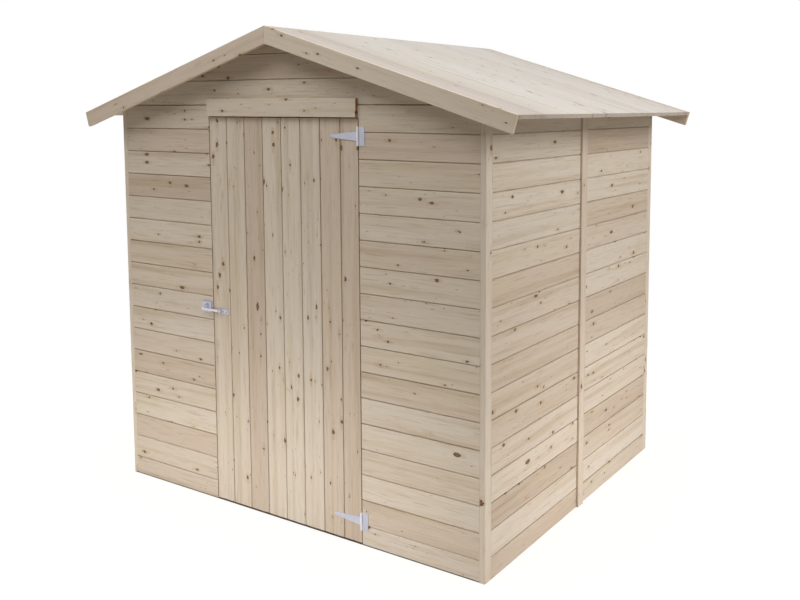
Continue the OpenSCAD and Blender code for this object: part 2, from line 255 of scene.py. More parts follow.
def spruce(use):
    """Planed spruce, straight from the planer and not stained. The eye gets matt pale wood, each
    board a little pinker, yellower or greyer than the next, with faint growth rings cut lengthwise,
    thin darker streaks, small dark knots and flecks. spread is how much the boards differ, figure
    how strongly the bands and streaks show, knots the share of knots kept, and reach how short a
    knot is through the board: the longer it is, the more of them meet the face."""
    name, setting, spread, figure, knots, reach = SPRUCE[use]
    if name in bpy.data.materials:
        return bpy.data.materials[name]
    timber = bpy.context.scene.shed_timber
    material, add = new_material(name)

    # Every board or timber has its own axes: X along the grain, Y across its face, Z out of it.
    grain = add("Attribute", attribute_name="grain").outputs["Vector"]
    board = add("Attribute", attribute_name="board").outputs["Vector"]
    lot = add("SeparateXYZ", [board]).outputs[0]
    shift = add("VectorMath", [board, (37, 11, 5)], **TIMES)
    wood = add("VectorMath", [grain, shift], operation="ADD")

    # Noise drawn out along the grain: a slow wander, bands 20 to 50 mm wide, streaks 3 mm wide,
    # fibre marks 1 mm wide, coarser than real fibres so that they show, and yellowish sapwood.
    wander, broad, thin, fine, patchy = (
        add("TexNoise", {"Vector": add("VectorMath", [wood, drawn], **TIMES),
                         "Scale": 1.0, "Detail": detail, "Roughness": roughness}).outputs["Fac"]
        for drawn, detail, roughness in (
            ((0.9, 5, 5), 3.0, 0.5), ((0.8, 26, 26), 3.0, 0.55), ((7, 170, 170), 2.0, 0.5),
            ((22, 900, 900), 3.0, 0.5), ((3.2, 17, 17), 2.0, 0.5)))

    # Knots 3 to 16 mm across in cells of 47 mm, drawn out through the board and along the grain,
    # each with a halo that runs further along the grain.
    knot_at = add("VectorMath", [wood, (0.85, 1, reach)], **TIMES)
    cell = add("TexVoronoi", {"Vector": knot_at, "Scale": 1 / (47 * MM)})
    lots = add("SeparateColor", [cell.outputs["Color"]]).outputs
    off = add("VectorMath", [knot_at, cell.outputs["Position"]], operation="SUBTRACT")
    rare = add("Math", [lots[0], 3.0], operation="POWER")
    radius = add("MapRange", [rare, 0, 1, 1.7 * MM, 8 * MM])
    stretch = add("MapRange", [lots[1], 0, 1, 0.5, 1.15])
    stretch = add("CombineXYZ", [stretch, 1.0, 1.0])
    ratio, halo = (
        add("Math", [add("VectorMath", [add("VectorMath", [off, drawn], **TIMES)],
                         operation="LENGTH").outputs["Value"], radius], operation="DIVIDE")
        for drawn in (stretch, (0.24, 1, 1)))
    ragged = add("TexNoise", {"Vector": wood, "Scale": 190.0, "Detail": 3.0}).outputs["Fac"]
    ragged = add("MapRange", [ragged, 0.25, 0.75, 0.6, 1.5])
    ratio = add("Math", [ratio, ragged], **TIMES)
    kept = add("Math", [lots[2], knots], operation="LESS_THAN")
    knot, halo = (
        add("Math", [add("MapRange", [away, near, far, 1, 0], **SMOOTH), kept], **TIMES)
        for away, near, far in ((ratio, 0.95, 1.3), (halo, 0.6, 2.4)))

    # Growth rings about 3.4 mm apart round a pith line under the board, bent round the knots.
    pith = add("MapRange", {"Vector": board, 7: (0, 0, 0), 8: (1, 1, 1), 9: (0, -0.07, -0.13),
                            10: (0, 0.07, -0.035)}, data_type="FLOAT_VECTOR").outputs["Vector"]
    across = add("VectorMath", [grain, (0, 1, 1)], **TIMES)
    across = add("VectorMath", [across, pith], operation="DISTANCE").outputs["Value"]
    bent = add("MapRange", [ratio, 0, 5, 6 * MM, 0], **SMOOTH)
    ring = add("Math", [wander, 24 * MM, across], operation="MULTIPLY_ADD")
    ring = add("Math", [ring, bent], operation="ADD")
    ring = add("Math", [ring, 3.4 * MM], operation="DIVIDE")
    ring = add("Math", [ring], operation="FRACT")
    late = add("ValToRGB", [ring], [(0.0, (0, 0, 0, 1)), (0.55, (0.12, 0.12, 0.12, 1)),
                                    (0.86, (1, 1, 1, 1)), (1.0, (0, 0, 0, 1))])

    # The board's own tint, then the bands, streaks, rings and sapwood, each by its strength.
    tint = add("ValToRGB", [lot], [
        (0.0, linear("#f1e8e0")), (0.25, linear("#fefcfa")), (0.5, linear("#fffdf9")),
        (0.7, linear("#faf6ef")), (0.88, linear("#f0e8e1")), (1.0, linear("#e4dad1"))])
    band = add("ValToRGB", [broad], [
        (0.3, linear("#fffef8")), (0.46, linear("#ffffff")), (0.56, linear("#faf7f2")),
        (0.7, linear("#ebe5da"))])
    streak, patch = (
        add("MapRange", [noise, low, high, 0, most], **SMOOTH)
        for noise, low, high, most in ((thin, 0.53, 0.72, 0.35 * figure),
                                       (patchy, 0.56, 0.74, 0.28)))
    dark = add("Math", [late, 0.1 * figure], **TIMES)
    tone = getattr(timber, setting)
    for factor, shade, blend in (
            (spread, tint, "MULTIPLY"), (figure, band, "MULTIPLY"),
            (streak, linear("#c6b39d"), "MULTIPLY"), (dark, linear("#cdb79f"), "MULTIPLY"),
            (patch, linear("#cfc29d"), "MIX")):
        tone = add("Mix", {"Factor": factor, "A": tone, "B": shade}, data_type="RGBA",
                   blend_type=blend)
    fibre = add("MapRange", [fine, 0.25, 0.75, 0.94, 1.04])
    tone = add("VectorMath", {0: tone, "Scale": fibre}, operation="SCALE")

    # Flecks 1 to 4 mm wide and up to 16 mm long, gathered in patches.
    fleck_at = add("VectorMath", [wood, (0.24, 1, 0.6)], **TIMES)
    cell = add("TexVoronoi", {"Vector": fleck_at, "Scale": 1 / (11.5 * MM)}).outputs
    fleck_lots = add("SeparateColor", [cell["Color"]]).outputs
    fleck = add("VectorMath", [fleck_at, cell["Position"]], operation="DISTANCE").outputs["Value"]
    fleck_radius = add("MapRange", [fleck_lots[1], 0, 1, 0.9 * MM, 2.4 * MM])
    fleck = add("Math", [fleck, fleck_radius], operation="DIVIDE")
    fleck = add("MapRange", [fleck, 0.55, 1.1, 0.62, 0], **SMOOTH)
    gathered = add("TexNoise", {"Vector": wood, "Scale": 9.0, "Detail": 1.0}).outputs["Fac"]
    gathered = add("MapRange", [gathered, 0.42, 0.72, 0, 0.85 * knots])
    few = add("Math", [fleck_lots[0], gathered], operation="LESS_THAN")
    fleck = add("Math", [fleck, few], **TIMES)

    # Sawn ends are darker and warmer, by as much as the cut attribute says. Knots are brown at
    # heart, with a dark rim of bark.
    cut = add("Attribute", attribute_name="cut").outputs["Fac"]
    heart = add("MapRange", [ratio, 0.3, 0.9, 0, 1], **SMOOTH)
    core = add("Mix", {"Factor": heart, "A": timber.knot_colour, "B": timber.rim_colour},
               data_type="RGBA")
    amber = add("ValToRGB", [lots[1]], [(0.0, linear("#ab9374")), (0.6, linear("#a98c65")),
                                        (0.8, linear("#b49467"))])
    strong = add("MapRange", [lots[1], 0.5, 0.85, 0.25, 0.45])
    halo = add("Math", [halo, strong], **TIMES)
    for factor, shade, blend in ((cut, linear("#d0a67e"), "MULTIPLY"), (halo, amber, "MIX"),
                                 (fleck, linear("#8f7250"), "MIX"), (knot, core, "MIX")):
        tone = add("Mix", {"Factor": factor, "A": tone, "B": shade}, data_type="RGBA",
                   blend_type=blend)

    rough = add("MapRange", [late, 0, 1, 0.72, 0.6])
    height = add("Math", [fine, 0.5, late], operation="MULTIPLY_ADD")
    height = add("Math", [knot, 1.5, height], operation="MULTIPLY_ADD")
    bump = add("Bump", {"Height": height, "Strength": 0.35, "Distance": 0.15 * MM})
    surface = add("BsdfPrincipled",
                  {"Base Color": tone, "Roughness": rough, "IOR": 1.5, "Normal": bump})
    add("OutputMaterial", {"Surface": surface})
    return material


def zinc_plate():
    """Steel sheet, pressed and bright zinc plated. The eye gets a bluish satin metal with a faint
    cloudiness and fine rolling marks, and a painted highlight, near white, on the faces marked for
    it."""
    name = "Zinc-plated pressed steel"
    if name in bpy.data.materials:
        return bpy.data.materials[name]
    material, add = new_material(name)
    where = add("TexCoord").outputs["Object"]
    cloud = add("TexNoise", {"Vector": where, "Scale": 1 / (9 * MM), "Detail": 3.0}).outputs["Fac"]
    rubbed = add("Attribute", attribute_name="rubbed").outputs["Fac"]
    shade = bpy.context.scene.shed_steel.zinc_colour
    # The second mix, to near white, is a painted highlight on the marked faces.
    for factor, other in ((cloud, linear("#b3b6c9")), (rubbed, linear("#f4eff1"))):
        shade = add("Mix", {"Factor": factor, "A": shade, "B": other}, data_type="RGBA")
    # Rolling marks 1 mm apart, coarser than real ones so that they show.
    marks = add("VectorMath", [where, (60, 900, 900)], **TIMES)
    marks = add("TexNoise", {"Vector": marks, "Scale": 1.0, "Detail": 2.0}).outputs["Fac"]
    rough = add("MapRange", [cloud, 0, 1, 0.32, 0.5])
    bump = add("Bump", {"Height": marks, "Strength": 0.15, "Distance": 0.05 * MM})
    surface = add("BsdfPrincipled",
                  {"Base Color": shade, "Metallic": 0.3, "Roughness": rough, "Normal": bump})
    add("OutputMaterial", {"Surface": surface})
    return material


def painted_shade_screw():
    """Steel screw heads, dark as painted shade: the eye gets small dark spots with a dull shine."""
    name = "Blued steel screws"
    if name in bpy.data.materials:
        return bpy.data.materials[name]
    material, add = new_material(name)
    where = add("TexCoord").outputs["Object"]
    cloud = add("TexNoise", {"Vector": where, "Scale": 1 / (2 * MM), "Detail": 2.0}).outputs["Fac"]
    # These dark colours are painted shade, standing for the shadow in the screw holes.
    shade = add("Mix", {"Factor": cloud, "A": linear("#3a3540"), "B": linear("#5c5560")},
                data_type="RGBA")
    rough = add("MapRange", [cloud, 0, 1, 0.35, 0.55])
    surface = add("BsdfPrincipled", {"Base Color": shade, "Metallic": 0.4, "Roughness": rough})
    add("OutputMaterial", {"Surface": surface})
    return material


def by_eye(add):
    """Where the eye sees a surface, straight, in a reflection or through glass, as 0 or 1."""
    path = add("LightPath").outputs
    seen = add("Math", [path["Is Camera Ray"], path["Is Glossy Ray"]], operation="MAXIMUM")
    return add("Math", [seen, path["Is Transmission Ray"]], operation="MAXIMUM")


def studio_floor(colour, white):
    """A matt painted studio floor. The eye gets plain white with the shed's soft shadow near it."""
    material, add = new_material("Matt studio floor")
    where = add("TexCoord").outputs["Object"]
    away = add("VectorMath", [where], operation="LENGTH").outputs["Value"]
    share, glow = (add("MapRange", [away, 1.5, 3.0, near, 1], **SMOOTH) for near in (0.6, 1.5))
    # Under the shed and in its room the floor is left to the lamps.
    inside = 4 * MM
    edge = (corners("right_wall_front")[1].x - inside, -corners("front_wall_left")[0].y - inside, 0)
    past = add("VectorMath", [where], operation="ABSOLUTE")
    past = add("VectorMath", [past, edge], operation="SUBTRACT")
    past = add("SeparateXYZ", [past]).outputs
    past = add("Math", [past["X"], past["Y"]], operation="MAXIMUM")
    past = add("MapRange", [past, 0, 3 * MM])
    share = add("Math", [share, past], **TIMES)
    share = add("Math", [by_eye(add), share], **TIMES)
    matt = add("BsdfDiffuse", {"Color": colour})
    glowing = add("Emission", {"Color": white, "Strength": glow})
    add("OutputMaterial", [add("MixShader", [share, matt, glowing])])
    return material


# ---- Making meshes ----

def new_object(name, mesh):
    """Puts a mesh into the scene as an object at the origin."""
    made = bpy.data.objects.new(name, mesh)
    bpy.context.scene.collection.objects.link(made)
    return made


def finished(name, mesh, body, slot, *nodes):
    """Puts a finished mesh into the scene, on what carries it, and hides what it stands for. slot
    is not used.
    """
    if not mesh.polygons:
        raise RuntimeError(f"{name} has no faces")
    piece = new_object(name, mesh)
    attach(piece, body)
    if nodes:
        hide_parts(*nodes)
    return piece


def grow(mesh, tree, inputs):
    """The plain mesh that a node tree makes of a mesh, with its inputs given by name."""
    maker = new_object("maker", mesh)
    modifier = maker.modifiers.new(tree.name, "NODES")
    modifier.node_group = tree
    for item in tree.interface.items_tree:
        if item.item_type == "SOCKET" and item.in_out == "INPUT" and item.name in inputs:
            modifier[item.identifier] = inputs[item.name]
    graph = bpy.context.evaluated_depsgraph_get()
    made = bpy.data.meshes.new_from_object(
        maker.evaluated_get(graph), preserve_all_data_layers=True, depsgraph=graph)
    maker.modifiers.remove(modifier)
    bpy.data.objects.remove(maker)
    return made


def tree_with(name, sockets):
    """A geometry tree with these inputs and the usual three, what adds nodes to it, and its inputs
    by name."""
    tree = bpy.data.node_groups.new(name, "GeometryNodeTree")
    sockets = {"Geometry": "Geometry", **sockets, "Seed": "Int", "Material": "Material"}
    for label, kind in sockets.items():
        tree.interface.new_socket(label, in_out="INPUT", socket_type="NodeSocket" + kind)
    tree.interface.new_socket("Geometry", in_out="OUTPUT", socket_type="NodeSocketGeometry")
    return tree, partial(node, tree), node(tree, "NodeGroupInput").outputs


def as_mesh(bm, name):
    """A mesh of this name from a bmesh, which is freed."""
    mesh = bpy.data.meshes.new(name)
    bm.to_mesh(mesh)
    bm.free()
    return mesh


def closed(bm, name):
    """The mesh of a closed bmesh, with its faces turned outwards."""
    bmesh.ops.recalc_face_normals(bm, faces=bm.faces)
    return as_mesh(bm, name)


def board_run_tree():
    """Lays boards edge to edge from a unit length of board, and cuts them to the run's outline.
    The run lies in its own frame: X along the boards, Y across them, Z out of the face."""
    if "Board run" in bpy.data.node_groups:
        return bpy.data.node_groups["Board run"]
    tree, add, given = tree_with("Board run", {
        "Length": "Float", "Low": "Float", "High": "Float", "Pitch": "Float",
        "First joint": "Float", "Boards": "Int", "Apex": "Float", "Slope": "Float",
        "Mitre": "Float", "Play": "Float", "Raw ends": "Float"})
    pitch = given["Pitch"]
    start = add("Math", [given["First joint"], pitch], operation="SUBTRACT")
    line = add("GeometryNodeMeshLine", {
        "Count": given["Boards"], "Start Location": add("CombineXYZ", {"Y": start}),
        "Offset": add("CombineXYZ", {"Y": pitch})})
    boards = add("GeometryNodeInstanceOnPoints", {"Points": line, "Instance": given["Geometry"]})

    # Each board gets three random numbers of its own and the height of its lower edge.
    index = add("GeometryNodeInputIndex")
    lot = add("FunctionNodeRandomValue", {"Max": (1, 1, 1), "ID": index, "Seed": given["Seed"]},
              data_type="FLOAT_VECTOR")
    row = add("Math", [index, pitch, start], operation="MULTIPLY_ADD")
    for name, value, kind in (("board", lot, "FLOAT_VECTOR"), ("row", row, "FLOAT")):
        boards = add("GeometryNodeStoreNamedAttribute",
                     {"Geometry": boards, "Name": name, "Value": value}, data_type=kind,
                     domain="INSTANCE")
    boards = add("GeometryNodeRealizeInstances", [boards])

    # The ends go out to the length or to the sloping outline, whichever is nearer, and back along
    # the mitre. The edges stop at the lowest and highest line, and some boards sit a little deeper.
    at = add("SeparateXYZ", [add("GeometryNodeInputPosition")]).outputs
    y = add("Clamp", [at["Y"], given["Low"], given["High"]])
    half = add("Math", [given["Length"], 0.5], **TIMES)
    x = add("Math", [given["Apex"], y], operation="SUBTRACT")
    cut = add("Math", [at["Z"], given["Mitre"], half], operation="MULTIPLY_ADD")
    end = add("Math", [at["X"], 2.0], **TIMES)
    cut = add("Math", [cut, -1.0], **TIMES)
    for operation, other in (("DIVIDE", given["Slope"]), ("MINIMUM", half), ("MULTIPLY", end),
                             ("MAXIMUM", cut)):
        x = add("Math", [x, other], operation=operation)
    own = add("GeometryNodeInputNamedAttribute", {"Name": "board"}, data_type="FLOAT_VECTOR")
    own = add("SeparateXYZ", [own]).outputs["Z"]
    sunk = add("Math", [own, given["Play"]], **TIMES)
    z = add("Math", [at["Z"], sunk], operation="SUBTRACT")
    boards = add("GeometryNodeSetPosition",
                 {"Geometry": boards, "Position": add("CombineXYZ", [x, y, z])})

    # The grain runs from the middle of each board, and its sawn ends face along it.
    row = add("GeometryNodeInputNamedAttribute", {"Name": "row"}, data_type="FLOAT")
    middle = add("Math", [pitch, 0.5, row], operation="MULTIPLY_ADD")
    v = add("Math", [at["Y"], middle], operation="SUBTRACT")
    sawn = add("SeparateXYZ", [add("GeometryNodeInputNormal")]).outputs["X"]
    sawn = add("Math", [sawn], operation="ABSOLUTE")
    sawn = add("Math", [sawn, 0.5], operation="GREATER_THAN")
    sawn = add("Math", [sawn, given["Raw ends"]], **TIMES)
    for name, value, kind, domain in (
            ("grain", add("CombineXYZ", [at["X"], v, at["Z"]]), "FLOAT_VECTOR", "POINT"),
            ("cut", sawn, "FLOAT", "FACE")):
        boards = add("GeometryNodeStoreNamedAttribute",
                     {"Geometry": boards, "Name": name, "Value": value}, data_type=kind,
                     domain=domain)
    boards = add("GeometryNodeRemoveAttribute", {"Geometry": boards, "Name": "row"})
    boards = add("GeometryNodeMergeByDistance", {"Geometry": boards, "Distance": 0.02 * MM})
    boards = add("GeometryNodeSetMaterial", {"Geometry": boards, "Material": given["Material"]})
    add("NodeGroupOutput", [boards])
    return tree


def board_blank(thickness, pitch, gap, arris):
    """A unit length of board with a chamfered face, a groove along one edge and a tongue along the
    other, its face up."""
    edge, groove, tongue = gap / 2, gap / 2 + GROOVE_DEEP, pitch + gap / 2 + TONGUE_OUT
    near, far = TONGUE
    section = [
        (edge + arris, 0), (groove, 0), (pitch - edge - arris, 0), (pitch - edge, arris),
        (pitch - edge, near), (tongue, near), (tongue, far), (pitch - edge, far),
        (pitch - edge, thickness), (groove, thickness), (edge, thickness),
        (edge, far + TONGUE_FREE), (groove, far + TONGUE_FREE), (groove, near - TONGUE_FREE),
        (edge, near - TONGUE_FREE), (edge, arris)]
    bm = bmesh.new()
    ends = [[bm.verts.new((x, y, -depth)) for y, depth in section] for x in (-0.5, 0.5)]
    for i in range(len(section)):
        bm.faces.new((ends[0][i - 1], ends[1][i - 1], ends[1][i], ends[0][i]))
    for end in ends:
        bm.faces.new(end)
    return closed(bm, "board blank")


def run_of_boards(use, place, span, low, high, pitch, joint, thickness, apex=100.0, slope=1.0,
                  mitre=0.0, seed=0):
    """One run of boards, cut to its span and between low and high, set at its place. An apex far
    above them leaves their ends square."""
    sizes = bpy.context.scene.shed_boards
    gap, arris = ((sizes.roof_gap, sizes.roof_arris) if use == "roof"
                  else (sizes.wall_gap, sizes.wall_arris))
    first = joint + math.floor((low - joint) / pitch + 1) * pitch
    count = math.ceil((high - first) / pitch - 1e-4) + 1
    mesh = grow(board_blank(thickness, pitch, gap, arris), board_run_tree(), {
        "Length": span, "Low": low, "High": high, "Pitch": pitch, "First joint": first,
        "Boards": count, "Apex": apex, "Slope": slope, "Mitre": mitre, "Play": sizes.play,
        "Raw ends": RAW_END, "Seed": sizes.seed * 100 + seed, "Material": spruce(use)})
    mesh.transform(place)
    return mesh


def facing(origin, along, across):
    """The place of a run of boards: its origin, and the ways along and across its boards."""
    out = along.cross(across)
    place = Matrix((along, across, out)).transposed().to_4x4()
    place.translation = origin
    return place


def joined(name, meshes):
    """Several meshes as one, with what is flat to nothing taken out."""
    bm = bmesh.new()
    for mesh in meshes:
        bm.from_mesh(mesh)
    bmesh.ops.dissolve_degenerate(bm, dist=SAME_POINT, edges=bm.edges)
    made = meshes[0].copy()
    made.name = name
    bm.to_mesh(made)
    bm.free()
    return made


def dressed(name, arris, material, seed, raw=RAW_END):
    """A part's own solid with its edges eased, and its grain along each timber in it. raw is how
    dark its sawn ends are."""
    bm = merged(name)
    sharp = [e for e in bm.edges if e.calc_face_angle(0) > math.radians(20)]
    bmesh.ops.bevel(bm, geom=sharp, offset=arris, offset_type="OFFSET", segments=2, profile=0.5,
                    affect="EDGES", clamp_overlap=True)
    bmesh.ops.recalc_face_normals(bm, faces=bm.faces)
    bm.verts.index_update()
    grain = bm.verts.layers.float_vector.new("grain")
    board = bm.verts.layers.float_vector.new("board")
    cut = bm.faces.layers.float.new("cut")
    lot = random.Random(seed)
    for part in loose_parts(bm):
        edges = {e for v in part for e in v.link_edges}
        faces = {f for v in part for f in v.link_faces}
        longest = max(edges, key=lambda e: (round(e.calc_length(), 5), -e.index))
        along = (longest.verts[0].co - longest.verts[1].co).normalized()
        out = max(faces, key=lambda f: (round(f.calc_area(), 7), -f.index)).normal
        across = out.cross(along).normalized()
        middle = sum((v.co for v in part), Vector()) / len(part)
        own = Vector((lot.random(), lot.random(), lot.random()))
        for vertex in part:
            away = vertex.co - middle
            vertex[grain] = (away.dot(along), away.dot(across), away.dot(out))
            vertex[board] = own
        for face in faces:
            face[cut] = raw * (abs(face.normal.dot(along)) > 0.7)
    mesh = as_mesh(bm, name)
    mesh.materials.append(material)
    return mesh


def head_tree():
    """Sets a head on every point of a mesh, square to the point's facing and turned by chance."""
    if "Fixing heads" in bpy.data.node_groups:
        return bpy.data.node_groups["Fixing heads"]
    tree, add, given = tree_with("Fixing heads", {"Head": "Object"})
    square = add("GeometryNodeInputNamedAttribute", {"Name": "facing"}, data_type="FLOAT_VECTOR")
    square = add("FunctionNodeAlignRotationToVector", {"Vector": square}, axis="Z")
    head = add("GeometryNodeObjectInfo", {"Object": given["Head"]}).outputs["Geometry"]
    heads = add("GeometryNodeInstanceOnPoints",
                {"Points": given["Geometry"], "Instance": head, "Rotation": square})
    turn = add("FunctionNodeRandomValue", {"Max": (0, 0, math.pi), "Seed": given["Seed"]},
               data_type="FLOAT_VECTOR")
    heads = add("GeometryNodeRotateInstances", {"Instances": heads, "Rotation": turn})
    heads = add("GeometryNodeRealizeInstances", [heads])
    heads = add("GeometryNodeSetMaterial", {"Geometry": heads, "Material": given["Material"]})
    add("NodeGroupOutput", [heads])
    return tree


def turned_head(rings, recess=0.0):
    """A round head from its base up, given as rings of radius and height. A recess cuts a cross of
    that half-length into the top."""
    cross = [(1, 0.3), (0.3, 0.3), (0.3, 1), (-0.3, 1), (-0.3, 0.3), (-1, 0.3), (-1, -0.3),
             (-0.3, -0.3), (-0.3, -1), (0.3, -1), (0.3, -0.3), (1, -0.3)]
    angles = [math.atan2(y, x) for x, y in cross] if recess else [math.pi * i / 4 for i in range(8)]
    bm = bmesh.new()
    loops = [[bm.verts.new((radius * math.cos(a), radius * math.sin(a), height)) for a in angles]
             for radius, height in rings]
    if recess:
        top = rings[-1][1]
        for height, size in ((top, recess), (top - 1.2 * recess, 0.8 * recess)):
            loops.append([bm.verts.new((x * size, y * size, height)) for x, y in cross])
    for low, high in zip(loops, loops[1:]):
        for i in range(len(angles)):
            bm.faces.new((low[i - 1], low[i], high[i], high[i - 1]))
    bm.faces.new(loops[0])
    bm.faces.new(loops[-1])
    return closed(bm, "head")


def fixings(name, spots, head, body, seed, material):
    """Heads at the given spots, each a point and the way it faces, as one piece on a body."""
    bm = bmesh.new()
    layer = bm.verts.layers.float_vector.new("facing")
    for point, facing_way in spots:
        bm.verts.new(point)[layer] = facing_way
    pattern = new_object("head", head)
    mesh = grow(as_mesh(bm, "points"), head_tree(),
                {"Head": pattern, "Seed": seed, "Material": material})
    bpy.data.objects.remove(pattern)
    mesh.name = name
    finished(name, mesh, body, "galvanised_steel")


# ---- Operators ----

class ShedWallBoards(bpy.types.Operator):
    """Lays the wall and gable boards"""
    bl_idname = "shed.wall_boards"
    bl_label = "Wall Boards"

    def execute(self, context):
        sizes = context.scene.shed_boards
        course, joint = sizes.wall_course, sizes.wall_joint
        doorway_top = corners("front_wall_left")[1].z
        base = joint + math.ceil((doorway_top - joint) / course) * course
        apex = corners("front_gable")[1].z
        top, edge = right_slope()
        slope = (top.z - edge.z) / edge.x
        for number, name in enumerate((*WALLS, "front_gable", "rear_gable")):
            low, high = corners(name)
            middle = (low + high) / 2
            faces = 0 if "left_wall" in name or "right_wall" in name else 1
            side = math.copysign(1, middle[faces])
            face = max(abs(low[faces]), abs(high[faces]))
            origin = Vector((middle.x, middle.y, 0))
            origin[faces] = side * face
            place = facing(origin, SIDE * -side if faces else BACK * side, UP)
            span, thick = high[1 - faces] - low[1 - faces], high[faces] - low[faces]
            from_z, to_z, outline = (
                (base, apex, (apex, slope)) if "gable" in name
                else (low.z, base if faces else apex - slope * face, ()))
            runs = [run_of_boards("wall", place, span, from_z, to_z, course, joint, thick,
                                  *outline, seed=number)]
            if name == "front_gable":
                doorway = 2 * corners("front_wall_right")[0].x
                runs.append(run_of_boards("wall", place, doorway, low.z, base, course, joint,
                                          thick, seed=number + 2))
            finished(name + "_boards", joined(name, runs), "shed", "wall_boards", name)
        return {"FINISHED"}


class ShedRoofBoards(bpy.types.Operator):
    """Lays the roof boards down both slopes"""
    bl_idname = "shed.roof_boards"
    bl_label = "Roof Boards"

    def execute(self, context):
        course = context.scene.shed_boards.wall_course
        top, edge = right_slope()
        fall = (edge - top).normalized()
        slope, span = -fall.z / fall.x, (edge - top).length
        for number, (name, side) in enumerate((("roof_right", 1), ("roof_left", -1))):
            low, high = corners(name)
            depth = high.y - low.y
            along = Vector((side * fall.x, 0, fall.z))
            place = facing(top + along * span / 2 - BACK * side * depth / 2, along, BACK * side)
            joint = 0 if side > 0 else depth % course
            thick = max(abs((v.co - top).dot(fall.cross(BACK)))
                        for v in frame["nodes"]["roof_right"].data.vertices)
            mesh = run_of_boards("roof", place, span, 0, depth, course, joint, thick,
                                 mitre=slope, seed=20 + number)
            finished(name + "_boards", joined(name, [mesh]), "shed", "roof_boards", name)
        return {"FINISHED"}


class ShedDoorLeaf(bpy.types.Operator):
    """Lays the upright boards of the door, with its ledges and braces"""
    bl_idname = "shed.door_leaf"
    bl_label = "Door Leaf"

    def execute(self, context):
        sizes = context.scene.shed_boards
        low, high = corners("door_boards")
        place = facing(Vector((high.x, low.y, (low.z + high.z) / 2)), UP, -SIDE)
        mesh = run_of_boards("door", place, high.z - low.z, 0, high.x - low.x, sizes.door_board,
                             sizes.door_first, high.y - low.y, seed=30)
        finished("door_leaf_boards", joined("door_leaf", [mesh]), "door", "door_boards",
                 "door_boards")
        for number, name in enumerate(("door_ledges", "door_braces")):
            mesh = dressed(name, 2 * MM, spruce("framing"), 40 + number)
            finished(name + "_planed", mesh, "door", "framing", name)
        return {"FINISHED"}


class ShedTrim(bpy.types.Operator):
    """Planes the corner posts, cover battens, bargeboards and the board over the door"""
    bl_idname = "shed.trim"
    bl_label = "Trim"

    def execute(self, context):
        arris = context.scene.shed_timber.arris
        for number, name in enumerate(TRIM):
            raw = 1.0 if name == "door_header" else RAW_END
            mesh = dressed(name, arris, spruce("trim"), 50 + number, raw)
            finished(name + "_planed", mesh, "shed", "trim", name)
        return {"FINISHED"}


class ShedFraming(bpy.types.Operator):
    """Planes the studs, plates, rafters, ridge beam and purlins"""
    bl_idname = "shed.framing"
    bl_label = "Framing"

    def execute(self, context):
        arris = context.scene.shed_timber.arris
        for number, name in enumerate(FRAMING):
            mesh = dressed(name, arris, spruce("framing"), 70 + number)
            finished(name + "_sawn", mesh, "shed", "framing", name)
        return {"FINISHED"}


class ShedFittings(bpy.types.Operator):
    """Finishes the tee hinges, hasp and staple"""
    bl_idname = "shed.fittings"
    bl_label = "Hinges and Hasp"

    def execute(self, context):
        pin = corners("hinge_flap_top")[0].x + PIN_IN
        bar = corners("hasp_strap")[0].y + 4 * MM
        for name in HINGES + HASP:
            mesh = dressed(name, context.scene.shed_steel.edge, zinc_plate(), 0)
            # The hinges' knuckles and the front of the hasp's bar get a painted highlight, near
            # white.
            rubbed = mesh.attributes.new("rubbed", "FLOAT", "FACE")
            for face in mesh.polygons:
                bright = (face.center.y < bar if name == "hasp_strap"
                          else abs(face.center.x - pin) < 5 * MM)
                rubbed.data[face.index].value = 0.8 * bright
            mesh.shade_smooth()
            mesh.set_sharp_from_angle(angle=math.radians(28))
            finished(name + "_plated", mesh, BODY_OF[name], "galvanised_steel", name)
        return {"FINISHED"}


